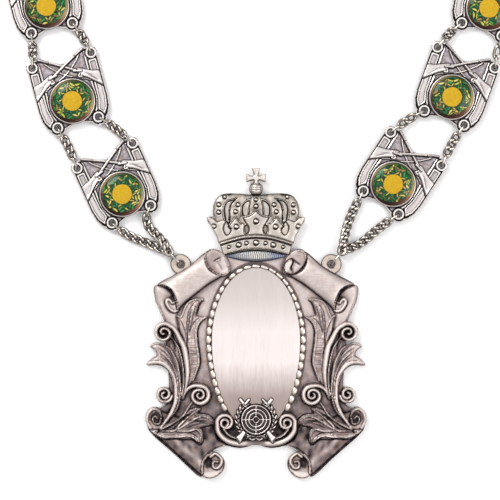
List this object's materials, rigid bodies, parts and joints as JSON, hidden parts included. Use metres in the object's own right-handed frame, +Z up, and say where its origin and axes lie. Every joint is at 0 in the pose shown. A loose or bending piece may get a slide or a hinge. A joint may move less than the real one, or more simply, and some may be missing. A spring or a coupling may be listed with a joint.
{
  "type": "shooting guild chain",
  "caption": "Ceremonial neck chain with a cast scroll pendant under a crown, enamelled link plates with crossed rifles, and double curb chain between them.",
  "frame": {"origin": "on the pendant's flat back under its middle, on the surface that the chain lies on", "axes": "+Y from the pendant through the crown to the neck's side of the loop, +Z up from the surface to the viewer, +X to the viewer's right"},
  "size_m": [0.2385, 0.3925, 0.0077],
  "materials": {
    "old_silver": "antiqued silver plate, dark patina in the recesses",
    "satin_silver": "vertically brushed satin",
    "bright_silver": "bright fluted metal",
    "chain_silver": "aged nickel plate",
    "enamel": "clear domed gloss over green and gold"
  },
  "bodies": {
    "root": {"pendant_body": "old_silver", "engraving_plate": "satin_silver", "bead_border": "old_silver", "target_emblem": "old_silver", "crown": "old_silver", "crown_lining": "bright_silver", "link_plate_left_1": "old_silver", "link_plate_left_2": "old_silver", "link_plate_left_3": "old_silver", "link_plate_right_1": "old_silver", "link_plate_right_2": "old_silver", "link_plate_right_3": "old_silver", "enamel_left_1": "enamel", "enamel_left_2": "enamel", "enamel_left_3": "enamel", "enamel_right_1": "enamel", "enamel_right_2": "enamel", "enamel_right_3": "enamel", "lug_ring_left": "chain_silver", "lug_ring_right": "chain_silver", "back_ring_left_outer": "chain_silver", "back_ring_left_inner": "chain_silver", "back_ring_right_outer": "chain_silver", "back_ring_right_inner": "chain_silver", "strand_left_outer": "chain_silver", "strand_left_inner": "chain_silver", "strand_right_outer": "chain_silver", "strand_right_inner": "chain_silver", "strand_left_12_outer": "chain_silver", "strand_left_12_inner": "chain_silver", "strand_left_23_outer": "chain_silver", "strand_left_23_inner": "chain_silver", "strand_right_12_outer": "chain_silver", "strand_right_12_inner": "chain_silver", "strand_right_23_outer": "chain_silver", "strand_right_23_inner": "chain_silver", "back_chain_outer": "chain_silver", "back_chain_inner": "chain_silver"}
  },
  "joints": []
}
